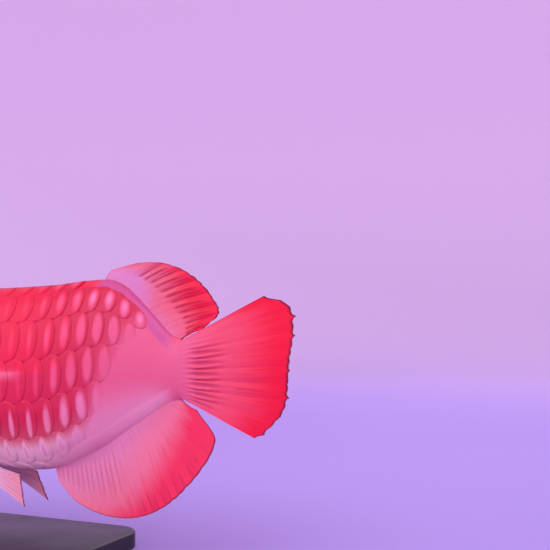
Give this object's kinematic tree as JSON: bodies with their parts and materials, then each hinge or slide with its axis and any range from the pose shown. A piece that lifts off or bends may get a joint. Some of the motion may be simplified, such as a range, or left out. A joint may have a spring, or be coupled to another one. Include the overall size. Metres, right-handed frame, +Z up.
{
  "type": "still model of a red asian arowana on a display stand",
  "caption": "Life-size still model of a red Asian arowana, swimming with its tail gently bent, held by rods on a flat black display base.",
  "frame": {"origin": "centre of the flat underside of the stand's base", "axes": "+Z up; +X along the fish from its head towards its tail; -Y is the side that the fish's left flank faces"},
  "size_m": [0.633, 0.195, 0.2488],
  "materials": {
    "scales": "large glossy crimson scales with pale pink centres",
    "head_skin": "smooth wet skin, dark olive red on top",
    "gill_plate": "polished red bony plates",
    "lip": "satin pink-red skin",
    "eye": "wet black pupil in a golden ring",
    "fin": "ribbed translucent red fin skin",
    "stand_black": "satin black",
    "stand_steel": "brushed"
  },
  "bodies": {
    "root": {"head": "head_skin", "lower_jaw": "head_skin", "eye_left": "eye", "eye_right": "eye", "upper_jaw_left": "lip", "upper_jaw_right": "lip", "gill_cover_left": "gill_plate", "gill_cover_right": "gill_plate", "cheek_left": "gill_plate", "cheek_right": "gill_plate", "barbel_left": "lip", "barbel_right": "lip", "trunk_front": "scales", "trunk_rear": "scales", "tail_stalk": "scales", "dorsal_fin": "fin", "anal_fin": "fin", "caudal_fin": "fin", "pectoral_fin_left": "fin", "pectoral_fin_right": "fin", "pelvic_fin_left": "fin", "pelvic_fin_right": "fin", "stand_base": "stand_black", "stand_rod_front": "stand_steel", "stand_rod_rear": "stand_steel"}
  },
  "joints": []
}
